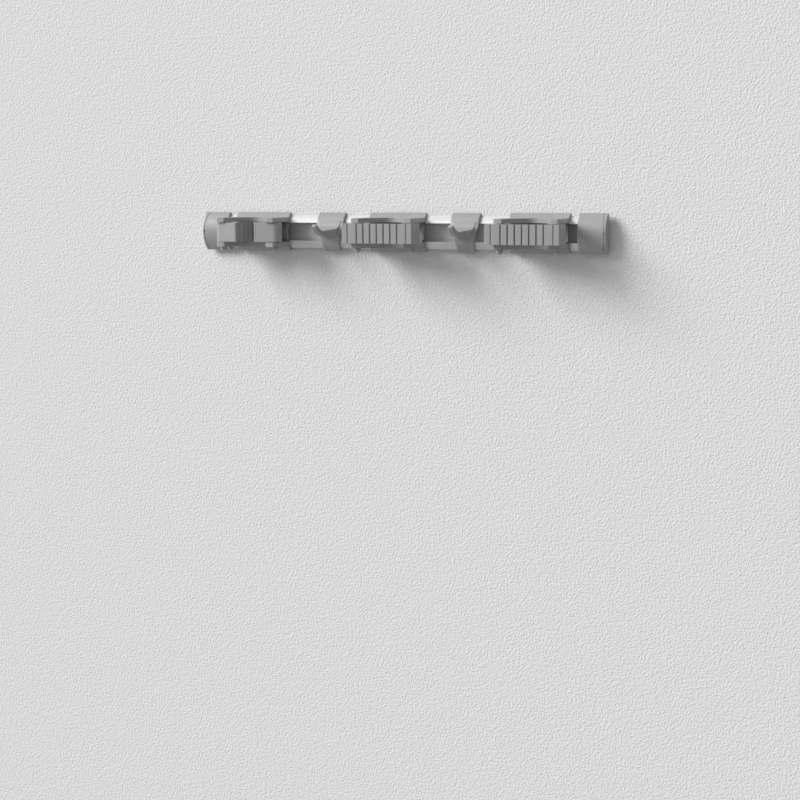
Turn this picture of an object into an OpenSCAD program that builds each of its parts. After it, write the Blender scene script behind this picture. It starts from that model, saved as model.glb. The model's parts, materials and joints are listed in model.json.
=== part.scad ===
// Wall rack for mops and brooms: a rail with clip-on handle holders, hooks and end caps.
// X runs along the rail, +Z is up and the wall is the plane y = 0, with the rack on its -Y side.
// The origin is the middle of the rail's back. Distances from the wall are called out.

/* [Rail] */
// Length of the rail
rail_length = 500; // [470:1:800]
// Height of the rail over its shoulders
rail_height = 38.6; // [36:0.2:39.6]
// Height of the neck behind the shoulders
neck_height = 30.6; // [28:0.2:32]
// Radius of the rounded front of the rail
rail_radius = 26.6; // [26.2:0.1:28]
// How far the rail stands out in the middle of its rounded front
rail_out = 15.4; // [14:0.1:16]
// How far out the ledge behind the shoulders lies
ledge_out = 7; // [6.4:0.1:7.6]
// Wall thickness of the rail
rail_wall = 2; // [1.4:0.1:2.4]
// Height of the open slot in the front
slot_height = 21; // [16:0.5:22]

/* [Clips and covers] */
// Wall thickness of the clips, hooks and end caps
cover_wall = 3.2; // [2.4:0.1:3.8]
// Gap between the rail and what snaps over it
rail_gap = 0.2; // [0.15:0.05:0.4]
// How far out the rear edge of a clip lies
cover_rear = 4.2; // [3.6:0.1:4.6]
// How far the rear edge of a clip is bevelled in
cover_bevel = 1.6; // [0.6:0.1:2]

/* [End caps] */
// How far a cap laps over the rail
cap_lap = 29.5; // [24:0.5:34]
// Thickness of a cap's end wall
cap_end = 3; // [2:0.1:4]
// Length of the plug tongue inside the channel
plug_length = 14; // [8:0.5:20]
// Gap between the plug tongue and the channel
plug_gap = 0.4; // [0.2:0.1:0.8]
// Distance of the seam from the cap's outer end, at its front
seam_in = 1.8; // [1.4:0.1:2.6]
// Slant of the seam, away from that end towards the wall
seam_slant = 17; // [0:1:20]
// Width of the seam
seam_width = 0.5; // [0.3:0.1:0.7]
// Depth of the seam
seam_depth = 0.9; // [0.3:0.1:1.2]
// Width of the pry slot in the seam
pry_width = 1.2; // [0.8:0.1:1.4]
// Height of the pry slot
pry_height = 3.5; // [2:0.5:6]
// Depth of the pry slot
pry_depth = 2; // [1:0.1:2.4]

/* [Wall holes] */
// Distance of the outer wall holes from the rail's ends
hole_in = 75; // [60:0.5:100]
// Radius of a wall hole
hole_r = 2.8; // [2:0.1:4]

/* [Holder housing] */
// Distance of the left holder's middle from the rail's left end
left_holder_in = 76; // [70:0.5:90]
// Place of the middle holder's middle, from the rail's middle
middle_x = 1; // [-10:1:10]
// Distance of the right holder's middle from the rail's right end
right_holder_in = 75.5; // [70:0.5:90]
// Width of the clip
clip_width = 70; // [66:0.5:74]
// Width of the fork over its horns
fork_width = 77.2; // [76.4:0.2:80]
// How far the horns stand out
horn_out = 58.2; // [57:0.2:62]
// Width of a horn's nose
horn_width = 10.8; // [9.6:0.2:12]
// Rounding of a horn's nose
horn_round = 2.6; // [1.6:0.2:4.6]
// How far out the fork's notch would end without its rounding
notch_out = 9; // [8:0.5:14]
// Radius at the bottom of the notch
notch_round = 14; // [12:0.5:15]
// Thickness of a fork plate
plate = 5.3; // [4.6:0.1:5.8]
// Height between the two fork plates
fork_gap = 23.3; // [22.8:0.1:24.2]
// Width of the notches in the clip's ends, inside the fork plates
relief_width = 2; // [1:0.5:4]
// Height of those notches
relief_height = 3; // [1:0.5:4]

/* [Jaws] */
// Distance of a pin from the fork's side
pin_in = 4.3; // [4:0.1:5]
// How far out the pins lie
pin_out = 47.3; // [46:0.1:49]
// Radius of a pin
pin_r = 2.4; // [2:0.1:2.6]
// Gap between a pin and the jaw that turns on it
pin_run = 0.08; // [0.05:0.01:0.1]
// Gap between a pin and the fork plates that hold it
pin_seat = 0.02; // [0.01:0.01:0.04]
// Radius of a pin's head
pin_head_r = 3.6; // [3.2:0.1:4.2]
// Height of a pin's head
pin_head = 5.6; // [3:0.1:6]
// What is left of the upper fork plate above a pin
pin_cover = 1; // [0.6:0.1:2]
// Radius of a jaw's hub
hub_r = 8; // [7.4:0.1:8.4]
// Gap above and below a jaw and the grip band
jaw_gap = 0.45; // [0.3:0.05:1.5]
// Gap between the two ends of the grip band, at its folds, when the jaws are shut
shut_gap = 20.4; // [19.4:0.1:22]
// Rounding of a jaw's tip
tip_round = 1.6; // [0.8:0.1:2.2]

/* [Grip band] */
// How far the front of the band lies beyond the pins when the jaws are open
face_ahead = 23.2; // [22:0.1:24]
// Distance from rib to rib
rib_pitch = 8.33; // [8.2:0.01:8.4]
// Depth of the band's ribs in front of its bending line
rib_depth = 2.2; // [1.6:0.1:2.6]
// Thickness of the band behind its bending line
web_back = 1.3; // [0.8:0.1:1.6]
// Thickness of the band where it covers a jaw
facing = 2.5; // [2:0.1:3]
// Width of a groove at the front
groove = 1.7; // [1.2:0.1:2]
// Gap between neighbouring parts of the band
band_gap = 0.3; // [0.2:0.05:0.4]
// How far a jaw's tip reaches beyond the fork's side
tip_over = 5.1; // [4:0.1:6]
// Distance of the last groove from the jaw's tip
last_rib = 7.5; // [6:0.1:9]
// Depth of the last groove
last_depth = 1.2; // [0.6:0.1:1.8]

/* [Hooks] */
// Distance of the left hook's middle from the middle holder's
left_hook_away = 84.4; // [78:0.1:90]
// Distance of the right hook's middle from the middle holder's
right_hook_away = 84.9; // [78:0.1:90]
// Width of the saddle at the top
saddle_top = 35; // [32:0.5:37]
// Width of the saddle just below its middle
saddle_waist = 24.6; // [22:0.2:28]
// Width of the saddle at the bottom
saddle_foot = 20; // [16:0.5:24]
// Height at which the saddle starts to narrow
waist_top = 7; // [4:0.5:10]
// Height at which the saddle has its waist
waist_low = -5; // [-8:0.5:-3]
// Width of the bowl where the prong leaves the saddle
bowl_width = 29; // [26:0.5:31]
// Width of the bowl at its underside
bowl_foot = 21; // [17:0.5:25]
// How far out the bowl has narrowed to the prong
bowl_run = 12; // [10:0.5:14]
// Radius between the saddle's front and the upper side of the bowl
bowl_round = 8; // [5:0.5:9]
// How far the prong reaches beyond the saddle's front
prong_reach = 40; // [34:0.5:46]
// Width of the prong where it leaves the bowl
prong_width = 9; // [7:0.2:11]
// Width of the prong's tip
prong_tip = 6; // [5:0.2:7]
// Thickness of the prong
prong_thickness = 4.8; // [4:0.1:5]
// Height of the prong's upper side before its bend
prong_top = 0.6; // [0:0.1:1.5]
// Angle by which the prong's upper side falls away from the saddle
prong_fall = 8; // [0:1:10]
// Angle by which the tip turns up
prong_turn = 47; // [35:1:50]
// Radius of the bend on the upper side
prong_bend = 22; // [14:1:26]

/* [Hidden] */
$fn = 96;
// A cut reaches this far past the face that it opens
over = 1;
// Far enough out to clear the whole rack
far_out = 100;
// Segments in each rounded corner of an outline
round_steps = 10;
// Half of what stays flat at the end of a prong's tip
tip_flat = 0.1;
// Rounding of the bowl's corners
bowl_corner = 3;
// Rounding of the saddle's waist and of its foot
waist_round = 3;
foot_round = 1.5;
// Bevel at a pin's upper end
pin_bevel = 0.6;

// The rail's rounded front and the covers over it share one centre line
arc_out = rail_out - rail_radius;
cover_radius = rail_radius + rail_gap + cover_wall;
cover_half = rail_height / 2 + rail_gap + cover_wall;
// Where the covers' rounded front meets their flat top
cover_edge_out = arc_out + sqrt(pow(cover_radius, 2) - pow(cover_half, 2));

left_x = left_holder_in - rail_length / 2;
right_x = rail_length / 2 - right_holder_in;
hole_x = rail_length / 2 - hole_in;

pin_x = fork_width / 2 - pin_in;
fork_half = fork_gap / 2;
jaw_height = fork_gap - 2 * jaw_gap;
jaw_half = jaw_height / 2;
// Lines ahead of a pin: the front of the jaw, and the line along which the band bends
jaw_ahead = face_ahead - facing;
line_ahead = face_ahead - rib_depth;
// Those of the band, from the wall, while the jaws are open
band_out = pin_out + face_ahead;
line_out = pin_out + line_ahead;
// Places seen from a pin, positive towards the holder's outside
tip_side = pin_in + tip_over;
last_side = tip_side - last_rib;
grip_side = 3 * rib_pitch - pin_x;
tongue_side = 2 * rib_pitch - pin_x;
// The bending line at the tongue's end, once the jaw has swung shut, and the swing that brings it there
shut_x = shut_gap / 2 + rib_depth;
tongue_reach = norm([tongue_side, line_ahead]);
swing = 360 - atan2(line_ahead, tongue_side) - acos((shut_x - pin_x) / tongue_reach);
shut_out = pin_out + tongue_side * sin(swing) + line_ahead * cos(swing);
// The web's middle lies one rib's length behind that end, and the web's side spans between them
web_shut_out = shut_out - sqrt(pow(rib_pitch, 2) - pow(shut_x - rib_pitch, 2));
web_travel = line_out - web_shut_out;
web_turn = atan2(shut_out - web_shut_out, shut_x - rib_pitch);
// How far the web's folded side is squeezed in at the front of its inner end
half_groove = (groove - band_gap) / 2;
fold_squeeze = rib_depth * tan(web_turn - atan2(half_groove, rib_depth)) + band_gap / 2;

front_out = arc_out + cover_radius;
tip_half = prong_thickness / 2;
// Length of the prong's upper side from the bend's corner to the end of the tip
bend_run = prong_bend * tan((prong_turn + prong_fall) / 2) + tip_half;
bend_out = front_out + prong_reach - tip_half - (bend_run - tip_half) * cos(prong_turn)
    - tip_half * sin(prong_turn);
// Height of the upper side where it leaves the saddle, and of the rounding above it
bowl_low = prong_top + (bend_out - front_out) * tan(prong_fall);
bowl_top = bowl_low + bowl_round;

plastic = [0.56, 0.57, 0.58];
rubber = [0.5, 0.51, 0.52];
aluminium = [0.84, 0.85, 0.86];

function unit(v) = v / norm(v);

// One rounded corner: arc points from the edge towards a to the edge towards b
function corner(a, p, b, r) =
    let (
        to_a = unit(a - p),
        to_b = unit(b - p),
        half = acos(to_a * to_b) / 2,
        centre = p + unit(to_a + to_b) * r / sin(half),
        first = p + to_a * r / tan(half) - centre,
        last = p + to_b * r / tan(half) - centre,
        start = atan2(first.y, first.x),
        turn = atan2(first.x * last.y - first.y * last.x, first * last)
    )
    [for (k = [0:round_steps]) centre + r * [cos(start + turn * k / round_steps),
                                             sin(start + turn * k / round_steps)]];

// An outline whose corners, given as [x, y, radius], are rounded where the radius is above 0
function rounded(points) = [
    for (i = [0:len(points) - 1])
        let (
            n = len(points),
            before = points[(i + n - 1) % n],
            here = points[i],
            after = points[(i + 1) % n]
        )
        each (here[2] > 0
            ? corner([before.x, before.y], [here.x, here.y], [after.x, after.y], here[2])
            : [[here.x, here.y]])
];

// The point where a line from p touches the circle of radius r about the origin, on one side
function tangent_point(p, r, side) =
    let (angle = atan2(p.y, p.x) - side * acos(r / norm(p)))
    r * [cos(angle), sin(angle)];

// Draws an outline of (x, out) at height z
module plan(z, height) {
    translate([0, 0, z])
        mirror([0, 1, 0])
            linear_extrude(height) children();
}

// Draws a section of (out, z) along the rail from x
module along_rail(x, length) {
    translate([x, 0, 0])
        rotate([90, 0, 90])
            linear_extrude(length)
                mirror([1, 0]) children();
}

// The rounded front, from an inner limit outwards and within a half height
module rounded_front(radius, from_out, half) {
    intersection() {
        translate([arc_out, 0]) circle(r = radius);
        translate([from_out, -half]) square([far_out, 2 * half]);
    }
}

module rail_section() {
    lip_half = slot_height / 2;
    difference() {
        union() {
            rounded_front(rail_radius, ledge_out, rail_height / 2);
            translate([0, -neck_height / 2]) square([ledge_out + over, neck_height]);
        }
        rounded_front(rail_radius - rail_wall, ledge_out + rail_wall, rail_height / 2);
        translate([rail_wall, rail_wall - neck_height / 2])
            square([ledge_out + over, neck_height - 2 * rail_wall]);
        translate([ledge_out, -lip_half]) square([far_out, slot_height]);
    }
}

// The space that the rail takes inside a clip, with the running gap all round
module rail_space() {
    rounded_front(rail_radius + rail_gap, ledge_out - rail_gap, rail_height / 2 + rail_gap);
    translate([-over, -neck_height / 2 - rail_gap])
        square([ledge_out + 2 * over, neck_height + 2 * rail_gap]);
}

// The solid outline of a clip, before the rail's space is cut out
module cover_outline() {
    bevel_half = cover_half - cover_bevel;
    intersection() {
        rounded_front(cover_radius, cover_rear, cover_half);
        polygon([
            [cover_rear, -bevel_half], [cover_edge_out, -cover_half], [far_out, -cover_half],
            [far_out, cover_half], [cover_edge_out, cover_half], [cover_rear, bevel_half],
        ]);
    }
}

module cover_section() {
    difference() {
        cover_outline();
        rail_space();
    }
}

module rail() {
    color(aluminium)
        difference() {
            along_rail(-rail_length / 2, rail_length) rail_section();
            for (i = [-1:1])
                translate([i * hole_x, over, 0])
                    rotate([90, 0, 0])
                        cylinder(r = hole_r, h = rail_wall + 2 * over);
        }
}

// One cap for the rail's right end
module end_cap() {
    end_x = rail_length / 2;
    tongue_half = slot_height / 2 - plug_gap;
    tongue_out = rail_wall + plug_gap;
    color(plastic)
        difference() {
            union() {
                along_rail(end_x - cap_lap, cap_lap) cover_section();
                along_rail(end_x, cap_end) cover_outline();
                along_rail(end_x - plug_length, plug_length + over)
                    translate([tongue_out, -tongue_half])
                        square([ledge_out, 2 * tongue_half]);
            }
            translate([end_x + cap_end - seam_in, -front_out, 0])
                rotate(seam_slant) {
                    seam();
                    translate([-pry_width / 2, -over, -pry_height / 2])
                        cube([pry_width, pry_depth + over, pry_height]);
                }
        }
}

// The groove across a cap, in the plane of its seam and open towards the front
module seam() {
    translate([-seam_width / 2, front_out, 0])
        along_rail(0, seam_width)
            difference() {
                rounded_front(cover_radius + over, cover_rear, cover_half + over);
                rounded_front(cover_radius - seam_depth, 0, cover_half - seam_depth);
            }
}

module end_cap_left() {
    mirror([1, 0, 0]) end_cap();
}

module end_cap_right() {
    end_cap();
}

// The fork plates' outline, from the clip out to the horns and back down the notch
module fork_outline() {
    side = fork_width / 2;
    inner = side - horn_width;
    root = clip_width / 2;
    polygon(rounded([
        [root, cover_edge_out, 0],
        [side, horn_out, horn_round],
        [inner, horn_out, horn_round],
        [0, notch_out, notch_round],
        [-inner, horn_out, horn_round],
        [-side, horn_out, horn_round],
        [-root, cover_edge_out, 0],
    ]));
}

module housing(x) {
    hole = pin_r + pin_seat;
    color(plastic)
        translate([x, 0, 0])
            difference() {
                union() {
                    along_rail(-clip_width / 2, clip_width) cover_outline();
                    plan(fork_half, plate) fork_outline();
                    plan(-fork_half - plate, plate) fork_outline();
                }
                along_rail(-clip_width / 2 - over, clip_width + 2 * over) rail_space();
                for (side = [-1, 1])
                    translate([side * pin_x, -pin_out, -fork_half - plate - over])
                        cylinder(r = hole, h = fork_gap + 2 * plate + over - pin_cover);
                for (side = [0, 1], level = [0, 1])
                    mirror([side, 0, 0])
                        mirror([0, 0, level])
                            translate([
                                clip_width / 2 - relief_width, -far_out, fork_half - relief_height
                            ])
                                cube([relief_width + over, far_out - cover_rear, relief_height]);
            }
}

// An upright pin with a domed head under the lower fork plate
module jaw_pin(x, side) {
    bottom = -fork_half - plate;
    top = fork_half + plate - pin_cover - pin_run;
    dome = pin_head / 2;
    color(plastic)
        translate([x + side * pin_x, -pin_out, bottom])
            rotate_extrude()
                polygon(concat(
                    [for (a = [0:15:90])
                        [pin_head_r * sin(a), dome - pin_head - dome * cos(a)]],
                    [[pin_head_r, 0], [pin_r, 0], [pin_r, top - bottom - pin_bevel],
                     [pin_r - pin_bevel, top - bottom], [0, top - bottom]]
                ));
}

// Puts what is drawn about a pin, open and for the right side, on a holder
module on_pin(x, side, shut) {
    translate([x, 0, 0])
        mirror([side < 0 ? 1 : 0, 0, 0])
            plan(-jaw_half, jaw_height)
                translate([pin_x, pin_out])
                    rotate(shut ? swing : 0) children();
}

// A rigid jaw: a hub round the pin and an arm out to the band
module jaw(x, side, shut) {
    tip = [tip_side, jaw_ahead];
    heel = [grip_side, jaw_ahead];
    color(plastic)
        on_pin(x, side, shut)
            difference() {
                union() {
                    circle(r = hub_r);
                    polygon([tip, heel, tangent_point(heel, hub_r, -1), [0, 0],
                             tangent_point(tip, hub_r, 1)]);
                }
                circle(r = pin_r + pin_run);
            }
}

// The band's end: a facing over the jaw and one free rib beyond it
module grip(x, side, shut) {
    color(rubber)
        on_pin(x, side, shut)
            polygon(rounded([
                [grip_side, jaw_ahead, 0],
                [tip_side, jaw_ahead, 0],
                [tip_side, face_ahead, tip_round],
                [last_side + groove / 2, face_ahead, 0],
                [last_side, face_ahead - last_depth, 0],
                [last_side - groove / 2, face_ahead, 0],
                [grip_side + groove / 2, face_ahead, 0],
                [grip_side, line_ahead, 0],
                [grip_side - groove / 2, face_ahead, 0],
                [tongue_side + groove / 2, face_ahead, 0],
                [tongue_side + band_gap / 2, line_ahead, 0],
                [tongue_side + band_gap / 2, line_ahead - web_back, 0],
                [grip_side, line_ahead - web_back, 0],
            ]));
}

// The web's middle: two ribs with a groove between them
module middle_web(x, shut) {
    right = [
        [rib_pitch - band_gap / 2, line_out - web_back],
        [rib_pitch - band_gap / 2, line_out],
        [rib_pitch - groove / 2, band_out],
        [groove / 2, band_out],
    ];
    color(rubber)
        translate([x, shut ? web_travel : 0, 0])
            plan(-jaw_half, jaw_height)
                polygon(concat(
                    right,
                    [[0, line_out]],
                    [for (i = [len(right) - 1:-1:0]) [-right[i].x, right[i].y]]
                ));
}

// The web's side: one rib, bent at the end of the web's middle and squeezed there when shut
module side_web(x, side, shut) {
    squeeze = shut ? fold_squeeze : groove / 2;
    color(rubber)
        translate([x, 0, 0])
            mirror([side < 0 ? 1 : 0, 0, 0])
                plan(-jaw_half, jaw_height)
                    translate([rib_pitch, shut ? web_shut_out : line_out])
                        rotate(shut ? web_turn : 0)
                            polygon([
                                [band_gap / 2, -web_back],
                                [rib_pitch - band_gap / 2, -web_back],
                                [rib_pitch - band_gap / 2, 0],
                                [rib_pitch - groove / 2, rib_depth],
                                [squeeze, rib_depth],
                                [band_gap / 2, 0],
                            ]);
}

// The prong seen along the rail, as (out, z): its upper side, the tip and its underside
module prong_side() {
    knee = [bend_out, prong_top];
    tip = knee + bend_run * [cos(prong_turn), sin(prong_turn)];
    tip_low = tip + prong_thickness * [sin(prong_turn), -cos(prong_turn)];
    heel = knee + prong_thickness * [tan(prong_turn / 2), -1];
    polygon(rounded([
        [rail_out, bowl_top, 0],
        [front_out - cover_wall / 2, bowl_top, 0],
        [front_out, bowl_low, bowl_round],
        [knee.x, knee.y, prong_bend],
        [tip.x, tip.y, tip_half - tip_flat],
        [tip_low.x, tip_low.y, tip_half - tip_flat],
        [heel.x, heel.y, prong_bend + prong_thickness],
        [rail_out, prong_top - prong_thickness, 0],
    ]));
}

// The prong seen from above, as (x, out): a bowl that narrows to the tip
module prong_above() {
    right = [
        [bowl_width / 2, rail_out, 0],
        [bowl_width / 2, front_out, bowl_corner],
        [prong_width / 2, front_out + bowl_run, bowl_run],
        [prong_tip / 2, front_out + prong_reach + over, 0],
    ];
    polygon(rounded(concat(right, [for (i = [len(right) - 1:-1:0]) [-right[i].x, right[i].y, right[i].z]])));
}

// The prong seen from the front, as (x, z): it narrows towards its underside
module prong_front() {
    wide = bowl_width / 2;
    foot = bowl_foot / 2;
    high = bowl_top + prong_reach;
    low = prong_top - prong_thickness;
    polygon([
        [-wide, high], [wide, high], [wide, bowl_top], [foot, low], [-foot, low], [-wide, bowl_top],
    ]);
}

module hook(x) {
    top = saddle_top / 2;
    waist = saddle_waist / 2;
    foot = saddle_foot / 2;
    color(plastic)
        translate([x, 0, 0]) {
            intersection() {
                along_rail(-top, saddle_top) cover_section();
                rotate([90, 0, 0])
                    linear_extrude(far_out)
                        polygon(rounded([
                            [-top, cover_half + over, 0], [top, cover_half + over, 0],
                            [top, waist_top, waist_round], [waist, waist_low, waist_round],
                            [foot, -cover_half, foot_round], [-foot, -cover_half, foot_round],
                            [-waist, waist_low, waist_round], [-top, waist_top, waist_round],
                        ]));
            }
            difference() {
                intersection() {
                    along_rail(-bowl_width, 2 * bowl_width) prong_side();
                    plan(-far_out, 2 * far_out) prong_above();
                    rotate([90, 0, 0])
                        linear_extrude(far_out) prong_front();
                }
                along_rail(-bowl_width, 2 * bowl_width) rail_space();
            }
        }
}

rail();
end_cap_left();
end_cap_right();
hook(middle_x - left_hook_away);  // hook_left
hook(middle_x + right_hook_away);  // hook_right

housing(left_x);  // left_holder_housing
jaw(left_x, -1, true);  // left_holder_left_jaw
jaw(left_x, 1, true);  // left_holder_right_jaw
jaw_pin(left_x, -1);  // left_holder_left_pin
jaw_pin(left_x, 1);  // left_holder_right_pin
grip(left_x, -1, true);  // left_holder_left_grip
grip(left_x, 1, true);  // left_holder_right_grip
side_web(left_x, -1, true);  // left_holder_left_web
side_web(left_x, 1, true);  // left_holder_right_web
middle_web(left_x, true);  // left_holder_middle_web

housing(middle_x);  // middle_holder_housing
jaw(middle_x, -1, false);  // middle_holder_left_jaw
jaw(middle_x, 1, false);  // middle_holder_right_jaw
jaw_pin(middle_x, -1);  // middle_holder_left_pin
jaw_pin(middle_x, 1);  // middle_holder_right_pin
grip(middle_x, -1, false);  // middle_holder_left_grip
grip(middle_x, 1, false);  // middle_holder_right_grip
side_web(middle_x, -1, false);  // middle_holder_left_web
side_web(middle_x, 1, false);  // middle_holder_right_web
middle_web(middle_x, false);  // middle_holder_middle_web

housing(right_x);  // right_holder_housing
jaw(right_x, -1, false);  // right_holder_left_jaw
jaw(right_x, 1, false);  // right_holder_right_jaw
jaw_pin(right_x, -1);  // right_holder_left_pin
jaw_pin(right_x, 1);  // right_holder_right_pin
grip(right_x, -1, false);  // right_holder_left_grip
grip(right_x, 1, false);  // right_holder_right_grip
side_web(right_x, -1, false);  // right_holder_left_web
side_web(right_x, 1, false);  // right_holder_right_web
middle_web(right_x, false);  // right_holder_middle_web
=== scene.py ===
"""Looks of a wall rack for mops and brooms: rounded mouldings, drawn metal, light and camera."""
import json
import math

import bmesh
import bpy
from mathutils import Matrix, Vector


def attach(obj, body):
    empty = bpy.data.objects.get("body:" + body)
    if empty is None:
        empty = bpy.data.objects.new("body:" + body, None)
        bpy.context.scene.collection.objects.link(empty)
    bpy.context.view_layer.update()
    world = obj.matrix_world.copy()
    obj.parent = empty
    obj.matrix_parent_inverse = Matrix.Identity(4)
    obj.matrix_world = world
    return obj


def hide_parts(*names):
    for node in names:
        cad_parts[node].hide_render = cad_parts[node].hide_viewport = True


MM = 0.001

# The camera, as the photograph was taken: place in metres, turn to the left, downward pitch, roll
CAMERA_PLACE = (0.8502, -1.9154, 0.0602)
CAMERA_YAW = math.radians(23.99)
CAMERA_PITCH = math.radians(6.98)
CAMERA_ROLL = math.radians(-0.293)
CAMERA_SENSOR_MM = 36
CAMERA_NEAREST = 0.01
FOCAL_LENGTH_IN_WIDTHS = 2.2489

# Rounding of edges, in metres; edges that turn by less than the angle stay as they are
MOULDED_ROUND = 0.45 * MM
BAND_ROUND = 0.25 * MM
METAL_ROUND = 0.7 * MM
ROUND_SEGMENTS = 3
ROUND_FROM_ANGLE = math.radians(32)
SHARP_FROM_ANGLE = math.radians(38)

# Corners nearer than this are one, and faces that turn by less than the angle are one flat face
SAME_POINT = 0.001 * MM
FLAT_ANGLE = math.radians(0.6)

# The hooks flow from saddle to bowl to prong: cell size of their new surface, and its smoothing
HOOKS = ("hook_left", "hook_right")
HOOK_VOXEL = 0.5 * MM
HOOK_SMOOTHING = 0.5
HOOK_SMOOTHINGS = 16

# Greys, darkest and lightest, and roughness, smoothest and roughest
PLASTIC_GREYS = (0.305, 0.335)
PLASTIC_ROUGHNESS = (0.38, 0.5)
PIN_ROUGHNESS = (0.2, 0.28)
RUBBER_GREYS = (0.285, 0.31)
RUBBER_ROUGHNESS = (0.56, 0.68)
ALUMINIUM_GREYS = (0.58, 0.64)
ALUMINIUM_ROUGHNESS = (0.55, 0.65)
ALUMINIUM_METALLIC = 0.35
# The rail's grain is drawn out along its length
DRAWN_GRAIN = (0.02, 1, 1)
# The part of a noise's values that is spread over a range
NOISE_LOW, NOISE_HIGH = 0.3, 0.7

# The wall, just behind the rail, and the floor; both reach this far
WALL_GAP = 0.0005
FLOOR_HEIGHT = -1.1
STAGE_REACH = 3.0
WALL_GREY, WALL_ROUGHNESS = 0.735, 0.9
PLASTER_GRAINS_PER_METRE, PLASTER_DETAIL = 420, 2
PLASTER_DEPTH, PLASTER_STRENGTH = 2.0 * MM, 0.6
# The floor is pale to the eye, and throws little light back up
FLOOR_SEEN_GREY, FLOOR_THROWN_GREY, FLOOR_ROUGHNESS = 0.72, 0.24, 0.8

# Brightness of the room, and how it grows towards the left, the front and the ceiling
ROOM_LEVEL = 0.36
ROOM_SLOPE = (-0.27, -0.17, 0.12)
# What the room looks like where nothing stands in front of it
ROOM_SEEN = 0.7
# The soft light: the way to it, its strength, and how wide it looks
KEY_WAY = (-1.25, -1.0, 0.92)
KEY_STRENGTH = 3.0
KEY_WIDTH = math.radians(32)

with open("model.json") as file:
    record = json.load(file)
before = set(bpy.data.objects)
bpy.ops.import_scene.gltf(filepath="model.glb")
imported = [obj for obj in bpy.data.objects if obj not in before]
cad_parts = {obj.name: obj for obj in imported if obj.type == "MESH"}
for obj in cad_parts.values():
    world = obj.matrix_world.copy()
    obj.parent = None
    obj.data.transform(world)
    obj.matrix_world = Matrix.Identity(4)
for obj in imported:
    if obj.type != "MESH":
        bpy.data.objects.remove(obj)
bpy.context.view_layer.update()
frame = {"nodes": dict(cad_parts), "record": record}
nodes = frame["nodes"]
record = frame["record"]
body_of_node = {
    node: body
    for body, members in record["behaviour"]["bodies"].items()
    for node in members
}
slot_of_node = {row["node"]: row["material_slot"] for row in record["subparts"]}


def grey(level):
    return (level, level, level, 1)


def middle(ends):
    return sum(ends) / 2


def new_material(name, level, roughness, metallic=0.0):
    material = bpy.data.materials.new(name)
    material.use_nodes = True
    tree_nodes, links = material.node_tree.nodes, material.node_tree.links
    shader = tree_nodes["Principled BSDF"]
    shader.inputs["Base Color"].default_value = grey(level)
    shader.inputs["Roughness"].default_value = roughness
    shader.inputs["Metallic"].default_value = metallic
    return material, tree_nodes, links, shader


def noise(tree_nodes, links, scale, detail, stretch=(1, 1, 1)):
    """Noise in object space, in repeats per metre along each stretched axis."""
    place = tree_nodes.new("ShaderNodeTexCoord")
    mapping = tree_nodes.new("ShaderNodeMapping")
    mapping.inputs["Scale"].default_value = stretch
    links.new(place.outputs["Object"], mapping.inputs["Vector"])
    texture = tree_nodes.new("ShaderNodeTexNoise")
    texture.inputs["Scale"].default_value = scale
    texture.inputs["Detail"].default_value = detail
    links.new(mapping.outputs["Vector"], texture.inputs["Vector"])
    return texture.outputs["Fac"]


def spread(tree_nodes, links, value, ends):
    """Maps a noise value onto a range."""
    node = tree_nodes.new("ShaderNodeMapRange")
    node.inputs["From Min"].default_value = NOISE_LOW
    node.inputs["From Max"].default_value = NOISE_HIGH
    node.inputs["To Min"].default_value, node.inputs["To Max"].default_value = ends
    links.new(value, node.inputs["Value"])
    return node.outputs["Result"]


def shade(tree_nodes, links, value, greys):
    """Mixes two greys by a noise value."""
    ramp = tree_nodes.new("ShaderNodeValToRGB")
    for element, position, level in zip(ramp.color_ramp.elements, (NOISE_LOW, NOISE_HIGH), greys):
        element.position = position
        element.color = grey(level)
    links.new(value, ramp.inputs["Fac"])
    return ramp.outputs["Color"]


def add_bump(tree_nodes, links, shader, value, distance, strength):
    bump = tree_nodes.new("ShaderNodeBump")
    bump.inputs["Strength"].default_value = strength
    bump.inputs["Distance"].default_value = distance
    links.new(value, bump.inputs["Height"])
    links.new(bump.outputs["Normal"], shader.inputs["Normal"])


def make_surface(name, greys, roughness, clouds, sheen, grain, depth, strength,
                 metallic=0.0, stretch=(1, 1, 1)):
    """A material with faint clouds of grey, patches of sheen, and a fine grain.

    clouds, sheen and grain are pairs of a noise's repeats per metre and its detail.
    """
    material, tree_nodes, links, shader = new_material(
        name, middle(greys), middle(roughness), metallic
    )
    clouds_value = noise(tree_nodes, links, *clouds, stretch)
    links.new(shade(tree_nodes, links, clouds_value, greys), shader.inputs["Base Color"])
    sheen_value = noise(tree_nodes, links, *sheen, stretch)
    links.new(spread(tree_nodes, links, sheen_value, roughness), shader.inputs["Roughness"])
    grain_value = noise(tree_nodes, links, *grain, stretch)
    add_bump(tree_nodes, links, shader, grain_value, depth, strength)
    return material


def make_plastic(name, roughness):
    return make_surface(
        name, PLASTIC_GREYS, roughness,
        clouds=(40, 3), sheen=(120, 4), grain=(2600, 2), depth=0.02 * MM, strength=0.5,
    )


materials = {
    "grey_plastic": make_plastic("grey_plastic", PLASTIC_ROUGHNESS),
    "band_rubber": make_surface(
        "band_rubber", RUBBER_GREYS, RUBBER_ROUGHNESS,
        clouds=(60, 3), sheen=(150, 4), grain=(1800, 3), depth=0.03 * MM, strength=0.5,
    ),
    "rail_aluminium": make_surface(
        "rail_aluminium", ALUMINIUM_GREYS, ALUMINIUM_ROUGHNESS,
        clouds=(600, 3), sheen=(1500, 3), grain=(2500, 2), depth=0.01 * MM, strength=0.4,
        metallic=ALUMINIUM_METALLIC, stretch=DRAWN_GRAIN,
    ),
}
# The heads of the pins are polished
pin_plastic = make_plastic("pin_plastic", PIN_ROUGHNESS)


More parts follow.
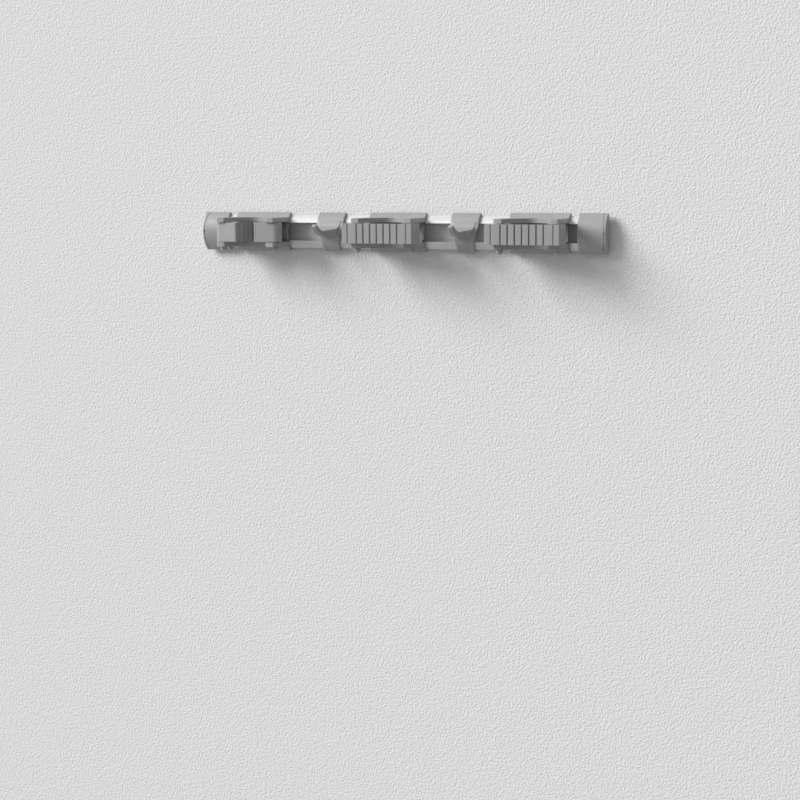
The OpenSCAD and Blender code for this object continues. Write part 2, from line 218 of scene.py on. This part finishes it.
def clean_copy(node):
    """A copy of a node's mesh, with its flat faces whole."""
    mesh = nodes[node].data.copy()
    piece = bpy.data.objects.new(node + "_moulded", mesh)
    bpy.context.scene.collection.objects.link(piece)
    work = bmesh.new()
    work.from_mesh(mesh)
    bmesh.ops.remove_doubles(work, verts=work.verts, dist=SAME_POINT)
    bmesh.ops.dissolve_limit(work, angle_limit=FLAT_ANGLE, verts=work.verts, edges=work.edges)
    work.to_mesh(mesh)
    work.free()
    return piece


def apply_modifiers(piece):
    bpy.context.view_layer.update()
    evaluated = piece.evaluated_get(bpy.context.evaluated_depsgraph_get())
    mesh = bpy.data.meshes.new_from_object(evaluated)
    piece.modifiers.clear()
    piece.data = mesh


def dress(piece, node):
    """Puts a piece in its node's place, with the material of the node's slot."""
    slot = slot_of_node[node]
    piece.data.materials.clear()
    piece.data.materials.append(pin_plastic if node.endswith("_pin") else materials[slot])
    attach(piece, body_of_node[node])
    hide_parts(node)


def make_moulding(node, radius):
    """The node's solid with rounded edges."""
    piece = clean_copy(node)
    bevel = piece.modifiers.new("round", "BEVEL")
    bevel.width = radius
    bevel.segments = ROUND_SEGMENTS
    bevel.limit_method = "ANGLE"
    bevel.angle_limit = ROUND_FROM_ANGLE
    bevel.use_clamp_overlap = True
    apply_modifiers(piece)
    piece.data.shade_smooth()
    piece.data.set_sharp_from_angle(angle=SHARP_FROM_ANGLE)
    weighted = piece.modifiers.new("weight", "WEIGHTED_NORMAL")
    weighted.keep_sharp = True
    apply_modifiers(piece)
    dress(piece, node)


def make_hook(node):
    """The node's solid, smoothed all over."""
    piece = clean_copy(node)
    remesh = piece.modifiers.new("remesh", "REMESH")
    remesh.mode = "VOXEL"
    remesh.voxel_size = HOOK_VOXEL
    smooth = piece.modifiers.new("smooth", "SMOOTH")
    smooth.factor = HOOK_SMOOTHING
    smooth.iterations = HOOK_SMOOTHINGS
    apply_modifiers(piece)
    piece.data.shade_smooth()
    dress(piece, node)


round_of_slot = {
    "rail_aluminium": METAL_ROUND,
    "band_rubber": BAND_ROUND,
    "grey_plastic": MOULDED_ROUND,
}
for node in nodes:
    if node in HOOKS:
        make_hook(node)
    else:
        make_moulding(node, round_of_slot[slot_of_node[node]])


def make_plane(name, corners, material):
    mesh = bpy.data.meshes.new(name)
    mesh.from_pydata(corners, [], [tuple(range(len(corners)))])
    mesh.materials.append(material)
    plane = bpy.data.objects.new(name, mesh)
    bpy.context.scene.collection.objects.link(plane)


def make_wall_paint():
    """Pale plaster that is clear from behind and to the face of the rail that lies on it."""
    material, tree_nodes, links, shader = new_material("wall_paint", WALL_GREY, WALL_ROUGHNESS)
    plaster = noise(tree_nodes, links, PLASTER_GRAINS_PER_METRE, PLASTER_DETAIL)
    add_bump(tree_nodes, links, shader, plaster, PLASTER_DEPTH, PLASTER_STRENGTH)
    behind = tree_nodes.new("ShaderNodeNewGeometry").outputs["Backfacing"]
    length = tree_nodes.new("ShaderNodeLightPath").outputs["Ray Length"]
    close = tree_nodes.new("ShaderNodeMath")
    close.operation = "LESS_THAN"
    links.new(length, close.inputs[0])
    close.inputs[1].default_value = 2 * WALL_GAP
    clear = tree_nodes.new("ShaderNodeMath")
    clear.operation = "MAXIMUM"
    links.new(behind, clear.inputs[0])
    links.new(close.outputs["Value"], clear.inputs[1])
    mix = tree_nodes.new("ShaderNodeMixShader")
    links.new(clear.outputs["Value"], mix.inputs["Fac"])
    links.new(shader.outputs["BSDF"], mix.inputs[1])
    links.new(tree_nodes.new("ShaderNodeBsdfTransparent").outputs["BSDF"], mix.inputs[2])
    links.new(mix.outputs["Shader"], tree_nodes["Material Output"].inputs["Surface"])
    return material


def looked_at(tree_nodes, links):
    """1 where the eye, a shiny face or a clear body looks, and 0 where light is thrown on."""
    path = tree_nodes.new("ShaderNodeLightPath")
    value = path.outputs["Is Camera Ray"]
    for ray in ("Is Glossy Ray", "Is Transmission Ray"):
        either = tree_nodes.new("ShaderNodeMath")
        either.operation = "MAXIMUM"
        links.new(value, either.inputs[0])
        links.new(path.outputs[ray], either.inputs[1])
        value = either.outputs["Value"]
    return value


def make_floor_paint():
    material, tree_nodes, links, shader = new_material(
        "floor_paint", FLOOR_SEEN_GREY, FLOOR_ROUGHNESS
    )
    tone = tree_nodes.new("ShaderNodeMix")
    tone.data_type = "RGBA"
    links.new(looked_at(tree_nodes, links), tone.inputs["Factor"])
    tone.inputs["A"].default_value = grey(FLOOR_THROWN_GREY)
    tone.inputs["B"].default_value = grey(FLOOR_SEEN_GREY)
    links.new(tone.outputs["Result"], shader.inputs["Base Color"])
    return material


def make_stage():
    left, right = -STAGE_REACH, STAGE_REACH
    front, top = -STAGE_REACH, STAGE_REACH
    wall = [
        (left, WALL_GAP, FLOOR_HEIGHT), (right, WALL_GAP, FLOOR_HEIGHT),
        (right, WALL_GAP, top), (left, WALL_GAP, top),
    ]
    floor = [
        (left, WALL_GAP, FLOOR_HEIGHT), (left, front, FLOOR_HEIGHT),
        (right, front, FLOOR_HEIGHT), (right, WALL_GAP, FLOOR_HEIGHT),
    ]
    make_plane("wall", wall, make_wall_paint())
    make_plane("floor", floor, make_floor_paint())


def make_light():
    """A room that is brighter on the left, in front and above, and one soft light there."""
    world = bpy.data.worlds.new("room")
    world.use_nodes = True
    tree_nodes, links = world.node_tree.nodes, world.node_tree.links
    direction = tree_nodes.new("ShaderNodeTexCoord")
    slope = tree_nodes.new("ShaderNodeVectorMath")
    slope.operation = "DOT_PRODUCT"
    links.new(direction.outputs["Generated"], slope.inputs[0])
    slope.inputs[1].default_value = ROOM_SLOPE
    level = tree_nodes.new("ShaderNodeMath")
    level.operation = "ADD"
    links.new(slope.outputs["Value"], level.inputs[0])
    level.inputs[1].default_value = ROOM_LEVEL
    seen = tree_nodes.new("ShaderNodeMix")
    links.new(looked_at(tree_nodes, links), seen.inputs["Factor"])
    links.new(level.outputs["Value"], seen.inputs["A"])
    seen.inputs["B"].default_value = ROOM_SEEN
    background = tree_nodes["Background"]
    background.inputs["Color"].default_value = grey(1)
    links.new(seen.outputs["Result"], background.inputs["Strength"])
    bpy.context.scene.world = world
    data = bpy.data.lights.new("key", "SUN")
    data.energy = KEY_STRENGTH
    data.angle = KEY_WIDTH
    light = bpy.data.objects.new("key", data)
    light.rotation_euler = Vector(KEY_WAY).to_track_quat("Z", "Y").to_euler()
    bpy.context.scene.collection.objects.link(light)


def make_camera():
    data = bpy.data.cameras.new("camera")
    data.sensor_width = CAMERA_SENSOR_MM
    data.lens = data.sensor_width * FOCAL_LENGTH_IN_WIDTHS
    data.clip_start = CAMERA_NEAREST
    camera = bpy.data.objects.new("camera", data)
    camera.location = CAMERA_PLACE
    turn = Matrix.Rotation(CAMERA_YAW, 3, "Z")
    tilt = Matrix.Rotation(math.pi / 2 - CAMERA_PITCH, 3, "X")
    roll = Matrix.Rotation(CAMERA_ROLL, 3, "Z")
    camera.rotation_euler = (turn @ tilt @ roll).to_euler()
    bpy.context.scene.collection.objects.link(camera)
    bpy.context.scene.camera = camera


make_stage()
make_light()
make_camera()
bpy.context.scene.view_settings.view_transform = "Standard"
